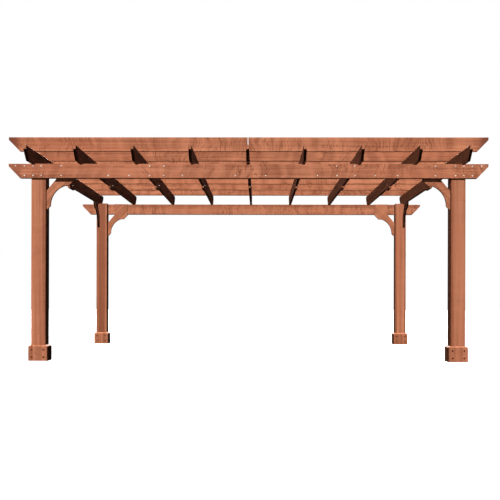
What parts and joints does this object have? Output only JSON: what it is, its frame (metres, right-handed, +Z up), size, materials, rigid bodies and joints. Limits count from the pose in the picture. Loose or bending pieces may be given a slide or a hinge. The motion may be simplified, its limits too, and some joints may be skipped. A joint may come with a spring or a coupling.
{
  "type": "timber pergola",
  "caption": "Open timber pergola: square posts with foot trims, doubled beams, notched rafters, purlins and curved knee braces.",
  "frame": {"origin": "middle of the whole footprint, tails included, at ground level under the posts", "axes": "+X along the beams and purlins, +Y from front to rear along the rafters, +Z up"},
  "size_m": [6.4, 5.305, 2.991],
  "materials": {
    "post_timber": "planed and oiled redwood-brown, satin",
    "trim_timber": "planed and oiled redwood-brown, satin",
    "beam_timber": "planed and oiled redwood-brown, satin",
    "rafter_timber": "planed and oiled redwood-brown, satin",
    "purlin_timber": "planed and oiled redwood-brown, satin",
    "brace_timber": "planed and oiled redwood-brown, satin",
    "bolt_steel": "galvanised, dull",
    "plug_timber": "dark end grain plugs over countersunk screws"
  },
  "bodies": {
    "root": {"base_trim_front_left": "trim_timber", "base_trim_front_right": "trim_timber", "base_trim_rear_left": "trim_timber", "base_trim_rear_right": "trim_timber", "beam_brace_front_left": "brace_timber", "beam_brace_front_right": "brace_timber", "beam_brace_rear_left": "brace_timber", "beam_brace_rear_right": "brace_timber", "front_beam_inner": "beam_timber", "front_beam_outer": "beam_timber", "post_front_left": "post_timber", "post_front_right": "post_timber", "post_rear_left": "post_timber", "post_rear_right": "post_timber", "purlin_1": "purlin_timber", "purlin_2": "purlin_timber", "purlin_3": "purlin_timber", "purlin_4": "purlin_timber", "purlin_5": "purlin_timber", "purlin_6": "purlin_timber", "purlin_7": "purlin_timber", "rafter_1_front": "rafter_timber", "rafter_1_rear": "rafter_timber", "rafter_2_front": "rafter_timber", "rafter_2_rear": "rafter_timber", "rafter_3_front": "rafter_timber", "rafter_3_rear": "rafter_timber", "rafter_4_front": "rafter_timber", "rafter_4_rear": "rafter_timber", "rafter_5_front": "rafter_timber", "rafter_5_rear": "rafter_timber", "rafter_6_front": "rafter_timber", "rafter_6_rear": "rafter_timber", "rafter_7_front": "rafter_timber", "rafter_7_rear": "rafter_timber", "rafter_8_front": "rafter_timber", "rafter_8_rear": "rafter_timber", "rafter_9_front": "rafter_timber", "rafter_9_rear": "rafter_timber", "rafter_brace_front_left": "brace_timber", "rafter_brace_front_right": "brace_timber", "rafter_brace_rear_left": "brace_timber", "rafter_brace_rear_right": "brace_timber", "rear_beam_inner": "beam_timber", "rear_beam_outer": "beam_timber"}
  },
  "joints": []
}
